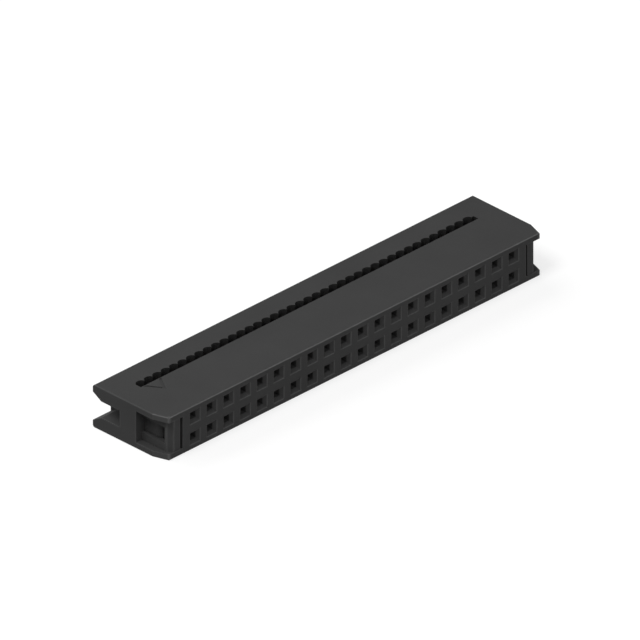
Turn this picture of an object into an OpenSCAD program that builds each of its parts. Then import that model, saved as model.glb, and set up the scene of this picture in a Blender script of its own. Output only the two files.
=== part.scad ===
// Ribbon-cable socket of the insulation-displacement kind: a moulded housing with two rows of fork
// contacts, and a cover that snaps onto its back and pins the ribbon on the contacts' tines.
// X runs along the rows, the mating face looks to -Y, and the body lies on its underside at Z = 0.

/* [Contact grid] */
// Contact columns along the socket
columns = 20; // [4:1:25]
// Distance between neighbouring columns, twice the ribbon's wire spacing
pitch = 2; // [1.9:0.05:2.6]
// Distance between the two rows
row_pitch = 2; // [1.8:0.05:2.2]

/* [Body] */
// Thickness of the socket, from underside to top face
body_t = 4.2; // [4:0.1:5]
// Depth of the housing, from the mating face to the parting plane
housing_d = 5.4; // [5.2:0.1:7]
// Depth of the cover, from the parting plane to the back face
cover_d = 3.2; // [2.8:0.1:4]
// Rounding of the edges along the mating face and the ends
edge_r = 0.12; // [0.05:0.01:0.25]
// Rounding of the cover's two back edges
back_edge_r = 0.3; // [0.1:0.05:0.5]
// Front corner cut, along the mating face
corner_x = 0.5; // [0.2:0.05:0.6]
// Front corner cut, along the end
corner_y = 1.5; // [0.8:0.1:2]

/* [Pin entries] */
// Width of the square lead-in funnel at the mating face
funnel_w = 1.16; // [0.9:0.02:1.3]
// Depth of the lead-in funnel
funnel_d = 0.28; // [0.15:0.01:0.4]
// Width of the rim that eases the funnel into the mating face
rim_w = 0.09; // [0.02:0.01:0.12]
// Depth of that rim
rim_d = 0.05; // [0.01:0.01:0.06]
// Width of the square pin hole
hole_w = 0.64; // [0.56:0.02:0.8]
// Depth of the pin hole behind the mating face
hole_d = 4.2; // [3.6:0.1:4.4]
// Wall between the mating face and the contacts' tips
front_wall = 0.9; // [0.6:0.1:1.2]

/* [Contacts] */
// Sheet thickness of a contact
contact_t = 0.25; // [0.15:0.05:0.4]
// Width of a contact's body, a press fit between the walls of its slot
contact_w = 1.1; // [1:0.05:1.3]
// Gap between the two prongs
fork_gap = 0.68; // [0.6:0.02:0.8]
// Gap at the prongs' gripping bumps
grip_gap = 0.42; // [0.3:0.02:0.5]
// Distance from a prong's tip to its gripping bump
grip_at = 0.55; // [0.3:0.05:0.7]
// Gap from a prong to the side of its slot
prong_gap = 0.04; // [0.02:0.01:0.08]
// Gap from a contact's sheet to the faces of its slot, and from its tail to the slot's side
contact_gap = 0.03; // [0.01:0.01:0.06]
// Length of the contact's solid body between its prongs and its tail
web_l = 0.45; // [0.3:0.05:0.6]
// Width across the two tines that straddle a wire
tine_span = 0.7; // [0.6:0.05:0.85]
// Wire slot between the tines
wire_slot = 0.22; // [0.15:0.01:0.3]
// Reach of the tines past the parting plane
tine_l = 1.15; // [0.8:0.05:1.5]
// Length of a tine's sharpened point
tine_point = 0.3; // [0.1:0.05:0.4]
// Room around the tines in the cover's pockets
pocket_gap = 0.08; // [0.04:0.01:0.12]

/* [Ribbon slot] */
// Width of the ribbon slot at the bottom of a scallop
slot_w = 0.87; // [0.75:0.01:1.2]
// How far neighbouring scallops cut into each other
scallop_overlap = 0.03; // [0.01:0.01:0.08]
// Width of the slot at its plain end, past the last scallop
slot_plain_w = 0.5; // [0.4:0.01:0.5]
// Length of the slot past the outer columns' wires, at each end
slot_end = 0.13; // [0.05:0.01:0.25]
// Offset of the wires from the columns, towards the marked end
wire_shift = 0.12; // [0:0.01:0.14]
// Rounding of the housing's edges along the slot
slot_edge_r = 0.1; // [0.04:0.01:0.2]

/* [Pin-one mark] */
// Length of the mark's base along the slot
mark_w = 2.1; // [1:0.1:2.4]
// Height of the mark from its base to its apex
mark_h = 1.6; // [0.8:0.1:2]
// Width of the mark's two engraved lines, along the slot
mark_line = 0.28; // [0.15:0.01:0.4]
// Depth of those lines below the top face
mark_depth = 0.08; // [0.03:0.01:0.2]
// Gap between the slot and the mark's base
mark_gap = 0.14; // [0.11:0.01:0.4]
// Distance of the mark from the first column, towards the middle
mark_shift = 0.17; // [0:0.01:0.3]

/* [Ends] */
// Wall between the end of the ribbon slot and the latch or the notch
slot_wall = 0.34; // [0.2:0.01:0.6]
// Room for a latch arm to bend inwards
flex_gap = 0.23; // [0.21:0.01:0.4]
// Thickness of the flanges above and below the latch
flange_t = 0.57; // [0.4:0.01:0.8]
// Thickness of the window frame around a latch hook
frame_t = 0.53; // [0.4:0.01:0.8]
// Height of the frame's rails along the flanges
rail_h = 0.76; // [0.4:0.02:0.8]
// Set-back of the window frame from the end face
frame_recess = 0.72; // [0.55:0.01:1]
// Length of the solid bridge behind the window
bridge_l = 1.93; // [1.4:0.01:2.2]
// Depth of the frame's front bar
bar_d = 0.67; // [0.5:0.01:0.9]
// Set-back of the front bar from the mating face
bar_setback = 0.08; // [0.02:0.01:0.15]
// Corner cut on the front bar
bar_corner = 0.45; // [0.2:0.01:0.6]

/* [Latch arms] */
// Thickness of a latch arm
arm_t = 0.6; // [0.5:0.02:0.9]
// Length of the arm's tall root inside the housing
root_l = 0.8; // [0.5:0.05:1.2]
// Gap from an arm to the walls of its channel
arm_gap = 0.05; // [0.02:0.01:0.1]
// Rise of the hook above the bridge that it catches on
hook_rise = 0.2; // [0.1:0.01:0.2]
// Gap from the hook's nose to the front bar
nose_gap = 0.5; // [0.2:0.05:1]
// Rounding of the hook's nose
nose_r = 0.7; // [0.3:0.05:0.75]

/* [Strain-relief notches] */
// Height of a notch
notch_h = 1.6; // [1.2:0.02:1.7]
// Length of the notch's flared mouth
flare_l = 1; // [0.5:0.05:1.2]
// Angle of the flare
flare_angle = 30; // [10:1:32]

/* [Hidden] */
$fn = 64;
// Small overshoot of a cutting tool
eps = 0.05;
shell_colour = "#2b2b2b";
cover_colour = "#2e2e2e";
contact_colour = "#c9a45c";

// Depth positions, with the body's box centred on Y = 0
y_mating = -(housing_d + cover_d) / 2;
y_parting = y_mating + housing_d;
y_back = y_parting + cover_d;
y_bridge = y_parting - bridge_l;
y_bar_front = y_mating + bar_setback;
y_bar_back = y_bar_front + bar_d;
y_tip = y_mating + front_wall;
y_crotch = y_mating + hole_d;
y_tail = y_crotch + web_l;

// Distances from the middle of the socket, stacked outwards
x_last = (columns - 1) * pitch / 2;
x_slot = columns * pitch / 2 + slot_end;
x_block = x_slot + slot_wall;
x_arm = x_block + flex_gap;
x_bridge = x_arm + arm_t + arm_gap;
x_frame = x_bridge + frame_t;
x_end = x_frame + frame_recess;

// Heights
z_mid = body_t / 2;
window_h = body_t - 2 * (flange_t + rail_h);
channel_h = body_t - 2 * flange_t;

// The ribbon's wires, two to each column
wires = 2 * columns;
wire_pitch = pitch / 2;
scallop_r = wire_pitch / 2 + scallop_overlap;

rows = 2;
contacts = rows * columns;
function column_x(c) = (c - (columns - 1) / 2) * pitch;
function row_z(r) = z_mid + (r - (rows - 1) / 2) * row_pitch;
function wire_x(w) = (w - (wires - 1) / 2) * wire_pitch - wire_shift;
// The lower row takes the wire on one side of its column, the upper row the wire on the other side
function row_side(r) = r == 0 ? 1 : -1;
// Distance from a column to the wire of its contact in row r, on that contact's own side
function wire_offset(r) = wire_pitch / 2 - row_side(r) * wire_shift;
function contact_name(k) = str("contact_", k < 9 ? "0" : "", k + 1);

module both_ends() {
  children();
  mirror([1, 0, 0]) children();
}

// Puts one child for each row at each contact of that row
module each_contact() {
  for (r = [0 : rows - 1])
    for (c = [0 : columns - 1])
      translate([column_x(c), 0, row_z(r)])
        scale([row_side(r), 1, 1])
          children(r);
}

// Block behind one upright outer face at local Y = 0, its top and bottom edges rounded
module faced_block(r) {
  reach = 2 * x_end + 2 * (housing_d + cover_d);
  rotate([90, 0, 90])
    linear_extrude(reach, center = true)
      difference() {
        square([reach, body_t]);
        edge_cut(r);
        translate([0, body_t]) mirror([0, 1]) edge_cut(r);
      }
}

// What a rounding of radius r takes off a square corner at the origin
module edge_cut(r) {
  difference() {
    translate([-eps, -eps]) square(r + eps);
    translate([r, r]) circle(r);
  }
}

// Box between two corners, given as [from, to] along each axis
module span(x, y, z) {
  translate([x[0], y[0], z[0]]) cube([x[1] - x[0], y[1] - y[0], z[1] - z[0]]);
}

// Housing

// Outer form of the housing: the mating face, the two ends and the two cut front corners
module housing_form() {
  corner_turn = atan2(corner_y, corner_x);
  intersection() {
    span([-x_end, x_end], [y_mating, y_parting], [0, body_t]);
    translate([0, y_mating, 0]) faced_block(edge_r);
    translate([x_end, 0, 0]) rotate(90) faced_block(edge_r);
    translate([-x_end, 0, 0]) rotate(-90) faced_block(edge_r);
    translate([x_end - corner_x, y_mating, 0]) rotate(corner_turn) faced_block(edge_r);
    translate([corner_x - x_end, y_mating, 0]) rotate(-corner_turn) faced_block(edge_r);
  }
}

// Half outline of a pin entry against depth: rim, funnel and hole
module entry_outline() {
  funnel = funnel_w / 2;
  hole = hole_w / 2;
  polygon([
    [-funnel - rim_w, y_mating - eps],
    [-funnel - rim_w, y_mating],
    [-funnel, y_mating + rim_d],
    [-hole, y_mating + funnel_d],
    [-hole, y_crotch],
    [hole, y_crotch],
    [hole, y_mating + funnel_d],
    [funnel, y_mating + rim_d],
    [funnel + rim_w, y_mating],
    [funnel + rim_w, y_mating - eps],
  ]);
}

// All square pin entries at once: where the columns' cuts cross the rows' cuts
module pin_entries() {
  intersection() {
    for (c = [0 : columns - 1])
      translate([column_x(c), 0, 0]) linear_extrude(body_t) entry_outline();
    for (r = [0 : rows - 1])
      translate([0, 0, row_z(r)])
        rotate([0, 90, 0]) linear_extrude(2 * x_end, center = true) entry_outline();
  }
}

// Flat slot that a contact is pushed into from the back, with room for its tail at the wire
module contact_slot(wire) {
  half_t = contact_t / 2 + contact_gap;
  tail_from = wire - tine_span / 2 - contact_gap;
  tail_to = wire + tine_span / 2 + contact_gap;
  span([-contact_w / 2, contact_w / 2], [y_tip - contact_gap, y_parting + eps], [-half_t, half_t]);
  span([tail_from, tail_to], [y_tail, y_parting + eps], [-half_t, half_t]);
}

// Room around a latch, between the flanges: the open end pocket, the arm's channel and its front gap
module latch_room() {
  translate([0, 0, flange_t])
    linear_extrude(channel_h) {
      polygon([
        [x_frame, y_bridge],
        [x_frame, y_bar_front + bar_corner],
        [x_frame - bar_corner, y_bar_front],
        [x_block, y_bar_front],
        [x_block, y_mating - eps],
        [x_end + eps, y_mating - eps],
        [x_end + eps, y_bridge],
      ]);
      translate([x_block, y_bar_back]) square([x_bridge - x_block, y_parting + eps - y_bar_back]);
      translate([x_block, y_mating]) square([flex_gap, housing_d]);
    }
}

// Window in the frame that the latch hook looks out of
module latch_window() {
  span(
    [x_bridge - eps, x_frame + eps],
    [y_bar_back, y_bridge],
    [z_mid - window_h / 2, z_mid + window_h / 2]
  );
}

// Rounded edges of the housing along the ribbon slot
module slot_edges() {
  translate([0, y_parting, 0])
    rotate([90, 0, -90])
      linear_extrude(2 * x_slot, center = true) {
        edge_cut(slot_edge_r);
        translate([0, body_t]) mirror([0, 1]) edge_cut(slot_edge_r);
      }
}

// Engraved arrow head at the first contact, pointing to the mating face
module pin_one_mark() {
  half_w = mark_w / 2;
  inner_h = mark_h * (half_w - mark_line) / half_w;
  translate([-x_last + mark_shift, y_parting - mark_gap, body_t - mark_depth])
    linear_extrude(mark_depth + eps)
      polygon([
        [-half_w, 0],
        [0, -mark_h],
        [half_w, 0],
        [half_w - mark_line, 0],
        [0, -inner_h],
        [mark_line - half_w, 0],
      ]);
}

module housing() {
  color(shell_colour)
    difference() {
      housing_form();
      pin_one_mark();
      pin_entries();
      each_contact() {
        contact_slot(wire_offset(0));
        contact_slot(wire_offset(1));
      }
      both_ends() {
        latch_room();
        latch_window();
      }
      slot_edges();
    }
}

// Cover

// Outer form of the cover, with its back edges rounded
module cover_form() {
  intersection() {
    span([-x_end, x_end], [y_parting, y_back], [0, body_t]);
    translate([0, y_back, 0]) rotate(180) faced_block(back_edge_r);
    translate([x_end, 0, 0]) rotate(90) faced_block(edge_r);
    translate([-x_end, 0, 0]) rotate(-90) faced_block(edge_r);
  }
}

// Ribbon slot, open to the housing, with one scallop behind each wire
module ribbon_slot() {
  scallop_at = y_parting + slot_w - scallop_r;
  translate([0, 0, -eps])
    linear_extrude(body_t + 2 * eps)
      intersection() {
        translate([-x_slot, y_parting - eps]) square([2 * x_slot, slot_w + 2 * eps]);
        union() {
          translate([-x_slot - eps, y_parting - 2 * eps])
            square([2 * (x_slot + eps), slot_plain_w + 2 * eps]);
          for (w = [0 : wires - 1]) translate([wire_x(w), scallop_at]) circle(scallop_r);
        }
      }
}

// Pocket that takes the two tips of one contact's tines
module tine_pocket(wire) {
  half_w = tine_span / 2 + pocket_gap;
  half_t = contact_t / 2 + pocket_gap;
  span(
    [wire - half_w, wire + half_w],
    [y_parting - eps, y_parting + tine_l + pocket_gap],
    [-half_t, half_t]
  );
}

// Notch in the end of the cover, flared at the back, that a strain-relief clip hooks into
module relief_notch() {
  half_h = notch_h / 2;
  flare_h = half_h + flare_l * tan(flare_angle);
  translate([x_block, 0, z_mid])
    rotate([90, 0, 90])
      linear_extrude(x_end - x_block + eps)
        polygon([
          [y_parting, -half_h],
          [y_back - flare_l, -half_h],
          [y_back, -flare_h],
          [y_back + eps, -flare_h],
          [y_back + eps, flare_h],
          [y_back, flare_h],
          [y_back - flare_l, half_h],
          [y_parting, half_h],
        ]);
}

// Latch arm: a tall root in the housing's channel, then a narrower hook with a round nose
module latch_arm() {
  root_from = y_parting - root_l;
  root_to = y_parting + cover_d / 4;
  root_h = channel_h - 2 * arm_gap;
  hook_h = window_h - 2 * arm_gap;
  y_catch = y_bridge - arm_gap;
  y_hook_tip = y_bar_back + nose_gap;
  hook_t = arm_t + arm_gap + hook_rise;
  span([x_arm, x_arm + arm_t], [root_from, root_to], [z_mid - root_h / 2, z_mid + root_h / 2]);
  translate([x_arm, 0, z_mid - hook_h / 2])
    linear_extrude(hook_h)
      difference() {
        polygon([
          [0, y_parting],
          [0, y_hook_tip],
          [hook_t, y_hook_tip],
          [hook_t, y_catch],
          [arm_t, y_catch],
          [arm_t, y_parting],
        ]);
        translate([hook_t, y_hook_tip]) mirror([1, 0]) edge_cut(nose_r);
      }
}

module cover() {
  color(cover_colour)
    difference() {
      union() {
        cover_form();
        both_ends() latch_arm();
      }
      ribbon_slot();
      each_contact() {
        tine_pocket(wire_offset(0));
        tine_pocket(wire_offset(1));
      }
      both_ends() relief_notch();
    }
}

// Contacts

// Outline of one flat stamped contact: the fork that grips a pin, the body that is pressed into its
// slot, and beside it the tail with two sharpened tines that straddle a wire
module contact_blank(wire) {
  body = contact_w / 2;
  prong = body - prong_gap;
  fork = fork_gap / 2;
  grip = grip_gap / 2;
  y_grip = y_tip + grip_at;
  y_fork = y_tip + 3 * grip_at;
  tail = tine_span / 2;
  slot = wire_slot / 2;
  tine_mid = (tail + slot) / 2;
  y_slot = (y_tail + y_parting) / 2;
  y_end = y_parting + tine_l;
  y_point = y_end - tine_point;
  polygon([
    [-prong, y_tip],
    [-fork, y_tip],
    [-grip, y_grip],
    [-fork, y_fork],
    [-fork, y_crotch],
    [fork, y_crotch],
    [fork, y_fork],
    [grip, y_grip],
    [fork, y_tip],
    [prong, y_tip],
    [prong, y_crotch],
    [body, y_crotch],
    [body, y_tail],
    [wire + tail, y_tail],
    [wire + tail, y_point],
    [wire + tine_mid, y_end],
    [wire + slot, y_point],
    [wire + slot, y_slot],
    [wire - slot, y_slot],
    [wire - slot, y_point],
    [wire - tine_mid, y_end],
    [wire - tail, y_point],
    [wire - tail, y_tail],
    [-body, y_tail],
    [-body, y_crotch],
    [-prong, y_crotch],
  ]);
}

// Contacts are numbered column by column from the marked end, the upper row's first
module contact(k) {
  r = 1 - k % rows;
  c = floor(k / rows);
  color(contact_colour)
    translate([column_x(c), 0, row_z(r)])
      scale([row_side(r), 1, 1])
        linear_extrude(contact_t, center = true)
          contact_blank(wire_offset(r));
}

housing();
cover();
for (k = [0 : contacts - 1])
  contact(k);
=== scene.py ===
# %% [markdown]
# # A ribbon-cable socket
# The real thing is a small black moulding, 45 mm long, that is pressed onto the end of a flat cable. It
# has a housing with two rows of pin entries, a cover latched onto its back, and forty metal forks inside.
# Its form comes from exact solids, so this lesson is mostly about surfaces: what makes a black moulded
# plastic look like plastic and not like a hole in the picture, and how a white studio lights it.

# %% Load the solids
import math

import bpy
import numpy as np
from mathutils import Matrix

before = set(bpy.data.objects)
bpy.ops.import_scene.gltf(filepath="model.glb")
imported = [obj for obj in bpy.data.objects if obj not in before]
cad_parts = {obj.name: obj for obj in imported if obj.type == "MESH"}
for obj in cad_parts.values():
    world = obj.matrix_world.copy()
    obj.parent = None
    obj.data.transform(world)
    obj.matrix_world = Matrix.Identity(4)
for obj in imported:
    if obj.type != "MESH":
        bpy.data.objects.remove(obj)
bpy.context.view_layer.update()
print("pieces in the solid model:", len(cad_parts))

# %% [markdown]
# ## Three small helpers
# Colours are easiest to pick as the hex values that a paint program shows, but a renderer works with
# linear light. One function does that conversion for every colour in this file. A second one adds a
# shader node with its settings and links in a single line, so that a material reads like a recipe. A
# third one starts an empty material.

# %% Colour and node helpers
MM = 0.001


def linear(hex_colour):
    """sRGB hex to linear RGBA: below 0.04045 divide by 12.92, else ((c + 0.055) / 1.055) to the 2.4."""
    c = np.array([int(hex_colour[i : i + 2], 16) for i in (1, 3, 5)]) / 255
    light = np.where(c <= 0.04045, c / 12.92, ((c + 0.055) / 1.055) ** 2.4)
    return (*light.tolist(), 1.0)


def add_node(tree, kind, inputs=None, **settings):
    """Add one node: settings are its properties, inputs give sockets a value or another node's output."""
    node = tree.nodes.new(kind)
    for name, value in settings.items():
        setattr(node, name, value)
    for socket, value in (inputs or {}).items():
        if isinstance(value, bpy.types.NodeSocket):
            tree.links.new(value, node.inputs[socket])
        else:
            node.inputs[socket].default_value = value
    return node


def new_material(name):
    """Return a new material and its emptied node tree."""
    material = bpy.data.materials.new(name)
    material.use_nodes = True
    tree = material.node_tree
    tree.nodes.clear()
    return material, tree


print("mid grey #808080 is", round(linear("#808080")[0], 3), "in linear light")

# %% [markdown]
# ## Black moulded plastic
# Housing and cover are glass-filled polyester, moulded in a tool whose walls were spark-eroded to a fine
# matte. Under studio light it is a dark neutral grey. A single flat colour would look like a hole in the
# picture, so the finish is built from the faint cloudy patches of the melt and the grain of the tool, and
# pale painted highlights are drawn on edges, rims and corner cuts, where light catches them. Each painted
# highlight gets a small function below that returns a share from 0 to 1. They read the direction of a
# face and Object coordinates, which are metres on the part, so a place on the socket can be written in
# millimetres.

# %% Painted highlight on the edges of the top
# Painted highlight: the roundings of the top edges are drawn paler, most on the front, where light catches
# them.
HIGHLIGHT_FROM_Z = 4.0 * MM
BACK_FACING = 0.1
FRONT_FACING = -0.3
# With this factor 4 n (1 - n) reaches 1, halfway round an edge.
ROUND_PEAK = 4.0


def painted_top_edge_highlights(tree, place):
    """Painted highlight on top roundings: 4 n (1 - n) for the upward normal share n, most in front."""
    height = add_node(tree, "ShaderNodeSeparateXYZ", {"Vector": place}).outputs["Z"]
    facing = add_node(tree, "ShaderNodeNewGeometry").outputs["Normal"]
    share = add_node(tree, "ShaderNodeSeparateXYZ", {"Vector": facing}).outputs
    rest = add_node(tree, "ShaderNodeMath", {0: 1.0, 1: share["Z"]}, operation="SUBTRACT")
    slope = add_node(tree, "ShaderNodeMath", {0: share["Z"], 1: rest.outputs[0]}, operation="MULTIPLY")
    high = add_node(tree, "ShaderNodeMath", {0: height, 1: HIGHLIGHT_FROM_Z}, operation="GREATER_THAN")
    turn = {"Value": share["Y"], "From Min": BACK_FACING, "From Max": FRONT_FACING}
    ahead = add_node(tree, "ShaderNodeMapRange", turn).outputs["Result"]
    here = add_node(tree, "ShaderNodeMath", {0: high.outputs[0], 1: ahead}, operation="MULTIPLY")
    highlight = add_node(tree, "ShaderNodeMath", {0: slope.outputs[0], 1: here.outputs[0]}, operation="MULTIPLY")
    full = {0: highlight.outputs[0], 1: ROUND_PEAK}
    return add_node(tree, "ShaderNodeMath", full, operation="MULTIPLY").outputs[0]


print("top edges are rubbed above", round(HIGHLIGHT_FROM_Z / MM, 2), "mm")

# %% [markdown]
# ## Pin entries, upright edges and corners
# The lower and right-hand rims of the pin entries, the upright edges of the two ends and the cut
# corners of the flanges get painted highlights, paler where light catches them. All of it could be
# painted by hand on a UV map, but here the rims and cuts are flat faces, which can be found by their
# direction, and the upright edges are found by their place.

# %% Painted highlight on the pin entry rims
# Painted highlight: the lower and right-hand rims of the entries are drawn paler, where light grazes them.
RIM_FACING = -0.874
RIM_BAND = 0.06
RIM_HIGHLIGHT = 0.7


def painted_rim_highlights(tree):
    """Painted highlight on the lower and right-hand rims: the normal's Z less its X, on rims only."""
    facing = add_node(tree, "ShaderNodeNewGeometry").outputs["True Normal"]
    share = add_node(tree, "ShaderNodeSeparateXYZ", {"Vector": facing}).outputs
    near = {0: share["Y"], 1: RIM_FACING, 2: RIM_BAND}
    rim = add_node(tree, "ShaderNodeMath", near, operation="COMPARE")
    sides = {0: share["Z"], 1: share["X"]}
    lean = add_node(tree, "ShaderNodeMath", sides, operation="SUBTRACT", use_clamp=True)
    highlight = add_node(tree, "ShaderNodeMath", {0: rim.outputs[0], 1: lean.outputs[0]}, operation="MULTIPLY")
    some = {0: highlight.outputs[0], 1: RIM_HIGHLIGHT}
    return add_node(tree, "ShaderNodeMath", some, operation="MULTIPLY").outputs[0]


print("rims lean back by", round(math.degrees(math.acos(-RIM_FACING)), 1), "degrees")

# %% Painted highlights on upright edges
# Painted highlights: pale lines along upright edges of both ends, where light catches their roundings.
MID_HEIGHT = 2.1 * MM
# Each edge: distance from the middle, place in depth, highlight's reach, half its height, and its share.
UPRIGHT_EDGES = {
    "flange corner": (22.1 * MM, -4.3 * MM, 0.3 * MM, 2.2 * MM, 0.7),
    "front bar, outside": (21.88 * MM, -3.77 * MM, 0.15 * MM, 1.5 * MM, 0.3),
    "front bar, front": (21.43 * MM, -4.22 * MM, 0.15 * MM, 1.5 * MM, 0.3),
    "bridge at the latch": (22.6 * MM, -0.83 * MM, 0.12 * MM, 1.5 * MM, 0.25),
    "bridge at the notch": (22.6 * MM, 1.1 * MM, 0.12 * MM, 0.8 * MM, 0.25),
}


def painted_upright_highlights(tree, place):
    """Painted highlight on upright edges at both ends, fading with the distance seen from above."""
    axes = add_node(tree, "ShaderNodeSeparateXYZ", {"Vector": place}).outputs
    aside = add_node(tree, "ShaderNodeMath", {0: axes["X"]}, operation="ABSOLUTE")
    flat = add_node(tree, "ShaderNodeCombineXYZ", {"X": aside.outputs[0], "Y": axes["Y"]}).outputs[0]
    painted_highlight = 0.0
    for x, y, reach, half, share in UPRIGHT_EDGES.values():
        ends = {0: flat, 1: (x, y, 0.0)}
        away = add_node(tree, "ShaderNodeVectorMath", ends, operation="DISTANCE").outputs["Value"]
        fade = {"Value": away, "From Min": reach, "From Max": 0.0, "To Max": share}
        edge = add_node(tree, "ShaderNodeMapRange", fade).outputs["Result"]
        stretch = {0: axes["Z"], 1: MID_HEIGHT, 2: half}
        level = add_node(tree, "ShaderNodeMath", stretch, operation="COMPARE").outputs[0]
        highlight = add_node(tree, "ShaderNodeMath", {0: edge, 1: level}, operation="MULTIPLY").outputs[0]
        painted_highlight = add_node(tree, "ShaderNodeMath", {0: painted_highlight, 1: highlight}, operation="MAXIMUM").outputs[0]
    return painted_highlight


print("upright edges rubbed at each end:", len(UPRIGHT_EDGES))

# %% Painted light on the corner cuts
# Painted light: the cut corners are drawn paler, as where light from the front left falls on them.
CUT_FROM_X = 22.0 * MM
CUT_FACING = 0.949
CUT_BAND = 0.03
CUT_HIGHLIGHT = 0.18


def painted_cut_highlights(tree, place):
    """Even painted light on the flanges' cut front corners, found by the normal's sideways share."""
    across = add_node(tree, "ShaderNodeSeparateXYZ", {"Vector": place}).outputs["X"]
    aside = add_node(tree, "ShaderNodeMath", {0: across}, operation="ABSOLUTE").outputs[0]
    facing = add_node(tree, "ShaderNodeNewGeometry").outputs["True Normal"]
    sideways = add_node(tree, "ShaderNodeSeparateXYZ", {"Vector": facing}).outputs["X"]
    share = add_node(tree, "ShaderNodeMath", {0: sideways}, operation="ABSOLUTE").outputs[0]
    near = {0: share, 1: CUT_FACING, 2: CUT_BAND}
    turned = add_node(tree, "ShaderNodeMath", near, operation="COMPARE").outputs[0]
    outer = add_node(tree, "ShaderNodeMath", {0: aside, 1: CUT_FROM_X}, operation="GREATER_THAN").outputs[0]
    cut = add_node(tree, "ShaderNodeMath", {0: turned, 1: outer}, operation="MULTIPLY").outputs[0]
    return add_node(tree, "ShaderNodeMath", {0: cut, 1: CUT_HIGHLIGHT}, operation="MULTIPLY").outputs[0]


print("corner cuts face", round(math.degrees(math.acos(CUT_FACING)), 1), "degrees off the end")

# %% [markdown]
# ## Sharp edges, flush faces and the ribbon slot
# Elsewhere the edges are nearly sharp and get only a faint painted highlight. An Ambient Occlusion node
# that looks inwards finds them: near an edge there is less plastic behind the surface. It would also draw
# lines where housing and cover meet flush at the ends, around the marking on the top, and on the latches
# inside their windows. The real part shows hardly any there, so a mask takes those out. The ribbon slot
# gets the opposite: painted shade makes its deep walls blacker than the rest, where little light gets in.

# %% Masks for the flush joint and the latches
SEAM_Y = 1.1 * MM
SEAM_FROM_X = 20.2 * MM
SEAM_HALF = 0.15 * MM
LATCH_X = 21.4 * MM
LATCH_HALF_X = 0.75 * MM
LATCH_Y = -2.2 * MM
LATCH_HALF_Y = 1.3 * MM


def seam_mask(tree, depth, aside):
    """1 on the flush joint of housing and cover at the two ends, 0 elsewhere."""
    outer = add_node(tree, "ShaderNodeMath", {0: aside, 1: SEAM_FROM_X}, operation="GREATER_THAN")
    near = {0: depth, 1: SEAM_Y, 2: SEAM_HALF}
    at_seam = add_node(tree, "ShaderNodeMath", near, operation="COMPARE")
    flush = {0: outer.outputs[0], 1: at_seam.outputs[0]}
    return add_node(tree, "ShaderNodeMath", flush, operation="MULTIPLY").outputs[0]


def latch_mask(tree, depth, aside):
    """1 inside the latch windows, and straight above and below them, 0 elsewhere."""
    across = {0: aside, 1: LATCH_X, 2: LATCH_HALF_X}
    beside = add_node(tree, "ShaderNodeMath", across, operation="COMPARE")
    along = {0: depth, 1: LATCH_Y, 2: LATCH_HALF_Y}
    between = add_node(tree, "ShaderNodeMath", along, operation="COMPARE")
    window = {0: beside.outputs[0], 1: between.outputs[0]}
    return add_node(tree, "ShaderNodeMath", window, operation="MULTIPLY").outputs[0]


print("latch windows are masked over", round(2 * LATCH_HALF_Y / MM, 2), "mm of depth")

# %% Mask for all crisp faces
TOP_FROM_Z = 4.08 * MM


def crisp_mask(tree, place):
    """1 on the top face, on the flush joint at the two ends and inside the latch windows, 0 elsewhere."""
    axes = add_node(tree, "ShaderNodeSeparateXYZ", {"Vector": place}).outputs
    aside = add_node(tree, "ShaderNodeMath", {0: axes["X"]}, operation="ABSOLUTE").outputs[0]
    on_top = add_node(tree, "ShaderNodeMath", {0: axes["Z"], 1: TOP_FROM_Z}, operation="GREATER_THAN")
    mask = on_top.outputs[0]
    for other in (seam_mask(tree, axes["Y"], aside), latch_mask(tree, axes["Y"], aside)):
        mask = add_node(tree, "ShaderNodeMath", {0: mask, 1: other}, operation="MAXIMUM").outputs[0]
    return mask


print("wear of sharp edges is left out above", round(TOP_FROM_Z / MM, 2), "mm")

# %% Mask for the painted shade of the slot walls
# Painted shade: the upright walls of the ribbon slot are drawn darker, where shade falls in the deep slot.
SLOT_Y = 1.57 * MM
SLOT_HALF = 0.48 * MM
SLOT_END_X = 20.3 * MM
UPRIGHT_BAND = 0.5


def slot_shade_mask(tree, place):
    """1 on the upright walls of the ribbon slot, where shade is painted, 0 elsewhere."""
    axes = add_node(tree, "ShaderNodeSeparateXYZ", {"Vector": place}).outputs
    across = {0: axes["Y"], 1: SLOT_Y, 2: SLOT_HALF}
    within = add_node(tree, "ShaderNodeMath", across, operation="COMPARE")
    along = {0: axes["X"], 1: 0.0, 2: SLOT_END_X}
    between = add_node(tree, "ShaderNodeMath", along, operation="COMPARE")
    facing = add_node(tree, "ShaderNodeNewGeometry").outputs["True Normal"]
    upward = add_node(tree, "ShaderNodeSeparateXYZ", {"Vector": facing}).outputs["Z"]
    upright = add_node(tree, "ShaderNodeMath", {0: upward, 1: 0.0, 2: UPRIGHT_BAND}, operation="COMPARE")
    area = {0: within.outputs[0], 1: between.outputs[0]}
    inside = add_node(tree, "ShaderNodeMath", area, operation="MULTIPLY")
    both = {0: inside.outputs[0], 1: upright.outputs[0]}
    return add_node(tree, "ShaderNodeMath", both, operation="MULTIPLY").outputs[0]


print("slot walls lie within", round(2 * SLOT_HALF / MM, 2), "mm behind the joint")

# %% [markdown]
# ## The plastic, put together
# The shares above mix three colours: the cloudy pigment, the paler tint of the painted highlights and
# the painted shade of the slot. The highlighted edges also get a lower roughness. A Bevel node rounds
# the shading of the sharp edges a little, and a weak bump carries the grain.

# %% Painted highlights of all kinds
# Painted highlight: sharp edges, found by the inward Ambient Occlusion, are drawn a little paler.
HIGHLIGHT_REACH = 0.2 * MM
HIGHLIGHT_RAYS = 8
SOLID_BEHIND = 0.85
THIN_BEHIND = 0.5
SHARP_HIGHLIGHT = 0.25


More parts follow.
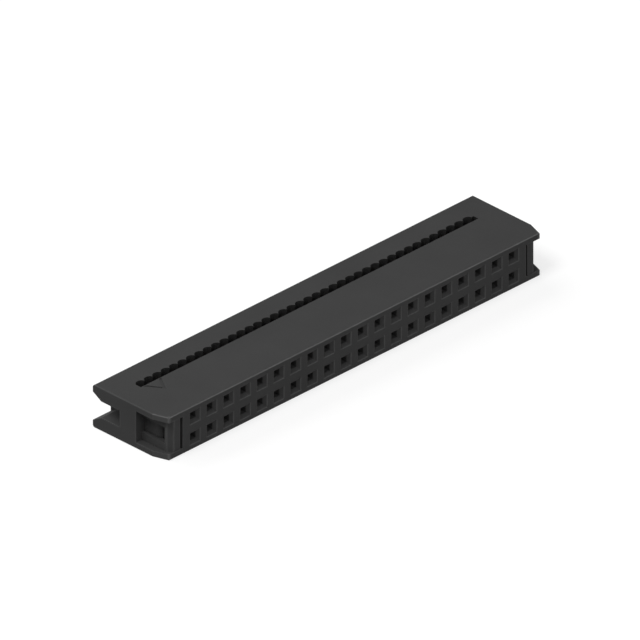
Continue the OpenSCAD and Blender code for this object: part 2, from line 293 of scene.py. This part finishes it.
def all_painted_highlights(tree, place, crisp):
    """The strongest of all painted highlights, with the sharp edges left out on crisp faces."""
    look = {"inside": True, "only_local": True, "samples": HIGHLIGHT_RAYS}
    depth = add_node(tree, "ShaderNodeAmbientOcclusion", {"Distance": HIGHLIGHT_REACH}, **look).outputs["AO"]
    behind = {"Value": depth, "From Min": SOLID_BEHIND, "From Max": THIN_BEHIND, "To Max": SHARP_HIGHLIGHT}
    thin = add_node(tree, "ShaderNodeMapRange", behind)
    left = {0: thin.outputs["Result"], 1: crisp}
    painted_highlight = add_node(tree, "ShaderNodeMath", left, operation="SUBTRACT", use_clamp=True).outputs[0]
    highlighted = (painted_top_edge_highlights(tree, place), painted_upright_highlights(tree, place), painted_cut_highlights(tree, place))
    for share in (painted_rim_highlights(tree), *highlighted):
        painted_highlight = add_node(tree, "ShaderNodeMath", {0: painted_highlight, 1: share}, operation="MAXIMUM").outputs[0]
    return painted_highlight


print("wear reaches", round(HIGHLIGHT_REACH / MM, 2), "mm in from a sharp edge")

# %% Colour of the plastic
CLOUD = 5.0 * MM
CLOUD_DETAIL = 3.0
PIGMENT_DARK = "#373737"
PIGMENT_PALE = "#3f3f3f"
# The slot colour is painted shade, and the edge tint is the colour of the painted highlights.
SLOT_SHADE_COLOUR = "#252525"
HIGHLIGHT_TINT = "#606060"


def plastic_colour(tree, place, painted_highlight):
    """Cloudy pigment, mixed to painted highlights on edges and to painted shade on the slot walls."""
    patches = {"Vector": place, "Scale": 1 / CLOUD, "Detail": CLOUD_DETAIL}
    cloud = add_node(tree, "ShaderNodeTexNoise", patches)
    melt = {0: cloud.outputs["Fac"], 6: linear(PIGMENT_DARK), 7: linear(PIGMENT_PALE)}
    pigment = add_node(tree, "ShaderNodeMix", melt, data_type="RGBA")
    rubbing = {0: painted_highlight, 6: pigment.outputs[2], 7: linear(HIGHLIGHT_TINT)}
    outer = add_node(tree, "ShaderNodeMix", rubbing, data_type="RGBA")
    slot_shading = {0: slot_shade_mask(tree, place), 6: outer.outputs[2], 7: linear(SLOT_SHADE_COLOUR)}
    return add_node(tree, "ShaderNodeMix", slot_shading, data_type="RGBA").outputs[2]


print("pigment runs from", PIGMENT_DARK, "to", PIGMENT_PALE)

# %% Relief of the plastic
# Spark erosion leaves pits of about 0.02 mm, too fine to show, so the grain is drawn 0.16 mm wide.
GRAIN = 0.16 * MM
GRAIN_DETAIL = 2.0
GRAIN_DEPTH = 0.02 * MM
GRAIN_STRENGTH = 0.12
EDGE = 0.07 * MM
EDGE_RAYS = 6


def plastic_relief(tree, grain, crisp):
    """Normal with rounded edges, left flat on crisp faces, and a bump from the grain on top of it."""
    rounded = add_node(tree, "ShaderNodeBevel", {"Radius": EDGE}, samples=EDGE_RAYS)
    flat = add_node(tree, "ShaderNodeNewGeometry")
    turn = {0: crisp, 4: rounded.outputs["Normal"], 5: flat.outputs["Normal"]}
    facing = add_node(tree, "ShaderNodeMix", turn, data_type="VECTOR").outputs[1]
    relief = {"Strength": GRAIN_STRENGTH, "Distance": GRAIN_DEPTH, "Height": grain, "Normal": facing}
    return add_node(tree, "ShaderNodeBump", relief).outputs["Normal"]


print("grain is", round(GRAIN / MM, 2), "mm wide")

# %% Matte black plastic
MATTE_LOW = 0.62
MATTE_HIGH = 0.76
POLISHED = 0.4
PLASTIC_IOR = 1.5
# The matte scatters nearly all of the mirror-like share, so the specular level is low.
MATTE_SPECULAR = 0.06


def moulded_plastic(name):
    """Principled plastic: cloudy pigment, painted highlights and shade, rough and bumpy with grain."""
    material, tree = new_material(name)
    place = add_node(tree, "ShaderNodeTexCoord").outputs["Object"]
    crisp = crisp_mask(tree, place)
    painted_highlight = all_painted_highlights(tree, place, crisp)
    eroded = {"Vector": place, "Scale": 1 / GRAIN, "Detail": GRAIN_DETAIL}
    grain = add_node(tree, "ShaderNodeTexNoise", eroded).outputs["Fac"]
    pits = {"Value": grain, "To Min": MATTE_LOW, "To Max": MATTE_HIGH}
    matte = add_node(tree, "ShaderNodeMapRange", pits)
    roughness = add_node(tree, "ShaderNodeMix", {0: painted_highlight, 2: matte.outputs["Result"], 3: POLISHED})
    finish = {
        "Base Color": plastic_colour(tree, place, painted_highlight),
        "Roughness": roughness.outputs[0],
        "IOR": PLASTIC_IOR,
        "Specular IOR Level": MATTE_SPECULAR,
        "Normal": plastic_relief(tree, grain, crisp),
    }
    shader = add_node(tree, "ShaderNodeBsdfPrincipled", finish)
    add_node(tree, "ShaderNodeOutputMaterial", {"Surface": shader.outputs["BSDF"]})
    return material


# Polyester with glass fibre: a dark, dry grey without a glossy spot, with thin painted highlights.
black_plastic = moulded_plastic("glass_filled_polyester_matte")
print("made", black_plastic.name)

# %% [markdown]
# ## Plated bronze
# The contacts are stamped from phosphor bronze strip and plated. They sit deep in their holes, so only a
# warm glint shows from the front and through the ribbon slot. An even metal would look like plastic foil,
# so the reflection is broken into faint streaks along the rolling direction, which is the fork's length.

# %% Contact metal
# Rolling marks are about 0.01 mm apart, too fine to show, so the streaks are drawn 0.4 mm wide.
ROLLING = 0.4 * MM
STREAK_STRETCH = 0.1
STREAK_DETAIL = 3.0
METAL_DARK = "#8a744e"
METAL_PALE = "#a58f66"
SATIN_LOW = 0.38
SATIN_HIGH = 0.52


def plated_bronze(name):
    """Principled metal whose tone and roughness follow a noise that is stretched tenfold along Y."""
    material, tree = new_material(name)
    place = add_node(tree, "ShaderNodeTexCoord").outputs["Object"]
    along = add_node(tree, "ShaderNodeMapping", {"Vector": place, "Scale": (1.0, STREAK_STRETCH, 1.0)})
    rolled = {"Vector": along.outputs["Vector"], "Scale": 1 / ROLLING, "Detail": STREAK_DETAIL}
    streak = add_node(tree, "ShaderNodeTexNoise", rolled)
    plating = {0: streak.outputs["Fac"], 6: linear(METAL_DARK), 7: linear(METAL_PALE)}
    tone = add_node(tree, "ShaderNodeMix", plating, data_type="RGBA")
    satin = {"Value": streak.outputs["Fac"], "To Min": SATIN_LOW, "To Max": SATIN_HIGH}
    roughness = add_node(tree, "ShaderNodeMapRange", satin)
    finish = {"Base Color": tone.outputs[2], "Metallic": 1.0, "Roughness": roughness.outputs["Result"]}
    shader = add_node(tree, "ShaderNodeBsdfPrincipled", finish)
    add_node(tree, "ShaderNodeOutputMaterial", {"Surface": shader.outputs["BSDF"]})
    return material


# Plating over rolled bronze: a warm, satin reflection with faint streaks.
contact_metal = plated_bronze("plated_phosphor_bronze")
print("made", contact_metal.name)

# %% [markdown]
# ## Dressing the solids
# A solid from model.glb brings its own plain material. Putting a new material into its slot changes the
# finish and leaves the mesh exactly as it was measured, which is why nothing is rebuilt here.

# %% Dress the solids
for name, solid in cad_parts.items():
    solid.data.materials.clear()
    solid.data.materials.append(contact_metal if name.startswith("contact") else black_plastic)
print("dressed", len(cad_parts), "pieces")

# %% [markdown]
# ## Camera
# The picture is drawn without perspective: edges that are parallel on the part stay parallel. It looks at
# the marked end from 45 degrees round and 30 degrees up, so the length and the depth both rise by one pixel
# for every two across. Three unit vectors give the camera's axes, and its matrix is filled in from them,
# which is more exact than turning it by angles.

# %% Orthographic camera
PIXELS_PER_MM = 11.858
IMAGE_SIZE = 640
DISTANCE = 0.3
AIM_RIGHT = 0.139 * MM
AIM_UP = 2.559 * MM
TURN_DEGREES = -45
RISE_DEGREES = 30
turn = math.radians(TURN_DEGREES)
rise = math.radians(RISE_DEGREES)
right = np.array([math.cos(turn), math.sin(turn), 0])
back = np.array([math.sin(turn) * math.cos(rise), -math.cos(turn) * math.cos(rise), math.sin(rise)])
up = np.cross(back, right)

lens = bpy.data.cameras.new("camera")
lens.type = "ORTHO"
lens.ortho_scale = IMAGE_SIZE / PIXELS_PER_MM * MM
lens.clip_start = MM
camera = bpy.data.objects.new("camera", lens)
bpy.context.scene.collection.objects.link(camera)
pose = np.eye(4)
pose[:3, 0] = right
pose[:3, 1] = up
pose[:3, 2] = back
pose[:3, 3] = AIM_RIGHT * right + AIM_UP * up + DISTANCE * back
camera.matrix_world = pose.T.tolist()
bpy.context.scene.camera = camera
print("picture is", round(lens.ortho_scale / MM, 2), "mm wide")

# %% [markdown]
# ## White floor
# The socket lies on white paper. Black plastic needs little light, and so little would leave real paper
# grey in the picture. More light would spoil the black, so the floor glows by itself instead, but only for
# rays that come from the camera or from a reflection. What is left of its own shading keeps the soft shadow
# around the part. It lies a hair under the socket, because two faces in one plane would flicker.

# %% Floor
FLOOR_HALF = 0.6
FLOOR_GAP = 0.02 * MM
FLOOR_LIFT = 0.72
PAPER = "#a0a0a0"


def is_seen(tree):
    """1 for camera, glossy and transmitted rays, which see the studio; 0 for rays that only carry light."""
    rays = add_node(tree, "ShaderNodeLightPath").outputs
    looks = {0: rays["Is Camera Ray"], 1: rays["Is Glossy Ray"]}
    direct = add_node(tree, "ShaderNodeMath", looks, operation="MAXIMUM")
    through = {0: direct.outputs[0], 1: rays["Is Transmission Ray"]}
    return add_node(tree, "ShaderNodeMath", through, operation="MAXIMUM").outputs[0]


def white_sweep(name):
    """Diffuse floor, plus a constant glow that only camera, glossy and transmitted rays see."""
    material, tree = new_material(name)
    lift = add_node(tree, "ShaderNodeMath", {0: is_seen(tree), 1: FLOOR_LIFT}, operation="MULTIPLY")
    paper = add_node(tree, "ShaderNodeBsdfDiffuse", {"Color": linear(PAPER)})
    glow = add_node(tree, "ShaderNodeEmission", {"Strength": lift.outputs[0]})
    both = add_node(tree, "ShaderNodeAddShader", {0: paper.outputs[0], 1: glow.outputs[0]})
    add_node(tree, "ShaderNodeOutputMaterial", {"Surface": both.outputs[0]})
    return material


corners = np.array([[-1, -1, 0], [1, -1, 0], [1, 1, 0], [-1, 1, 0]]) * FLOOR_HALF - [0, 0, FLOOR_GAP]
sheet = bpy.data.meshes.new("floor")
sheet.from_pydata(corners.tolist(), [], [[0, 1, 2, 3]])
# Matte paper: an even white without any sheen.
sheet.materials.append(white_sweep("white_paper_sweep"))
floor = bpy.data.objects.new("floor", sheet)
bpy.context.scene.collection.objects.link(floor)
print("floor is", 2 * FLOOR_HALF, "m across")

# %% [markdown]
# ## Room and lamps
# The room is white to look at and gives almost no light. The light comes from five big soft lamps half a
# metre away. The key stands high at the marked end, so that the flange shades the latch behind it. The sky
# lamp behind the socket lights the top and leaves the scalloped wall of the slot, which faces the camera,
# dark. The front lamp is low and brings out the pin entries, and two weaker ones fill the corners. Big
# lamps give soft shadows, as a light tent does.

# %% White room
ROOM_LIGHT = 0.008
ROOM_WHITE = "#ffffff"


def white_room(strength):
    """World of even pale light, which camera, glossy and transmitted rays see as plain white."""
    world = bpy.data.worlds.new("white_room")
    world.use_nodes = True
    tree = world.node_tree
    tree.nodes.clear()
    range_of = {"Value": is_seen(tree), "To Min": strength, "To Max": 1.0}
    level = add_node(tree, "ShaderNodeMapRange", range_of)
    even = {"Color": linear(ROOM_WHITE), "Strength": level.outputs["Result"]}
    glow = add_node(tree, "ShaderNodeBackground", even)
    add_node(tree, "ShaderNodeOutputWorld", {"Surface": glow.outputs[0]})
    return world


bpy.context.scene.world = white_room(ROOM_LIGHT)
bpy.context.scene.view_settings.view_transform = "Standard"
print("room gives", ROOM_LIGHT, "of full light")


# %% Lamps
def soft_lamp(name, where, size, watts):
    """Square area lamp at a place in metres, turned to the socket: its -Z axis points at the origin."""
    lamp = bpy.data.lights.new(name, "AREA")
    lamp.size = size
    lamp.energy = watts
    holder = bpy.data.objects.new(name, lamp)
    bpy.context.scene.collection.objects.link(holder)
    axis = np.array(where) / np.linalg.norm(where)
    side = np.cross([0, 1, 0], axis)
    side /= np.linalg.norm(side)
    stand = np.eye(4)
    stand[:3, 0] = side
    stand[:3, 1] = np.cross(axis, side)
    stand[:3, 2] = axis
    stand[:3, 3] = where
    holder.matrix_world = stand.T.tolist()
    return holder


# Each lamp: its place in metres, its width in metres and its power in watts.
LAMPS = {
    "key_lamp": ((-0.26, 0.0, 0.43), 0.18, 1.32),
    "sky_lamp": ((0.0, 0.375, 0.33), 0.34, 1.1),
    "front_lamp": ((0.0, -0.47, 0.17), 0.34, 0.98),
    "side_lamp": ((-0.265, -0.265, 0.33), 0.34, 0.28),
    "back_lamp": ((-0.33, 0.33, 0.17), 0.34, 0.63),
}
lamps = [soft_lamp(name, *light) for name, light in LAMPS.items()]
print("lamps give", round(sum(holder.data.energy for holder in lamps), 2), "W together")
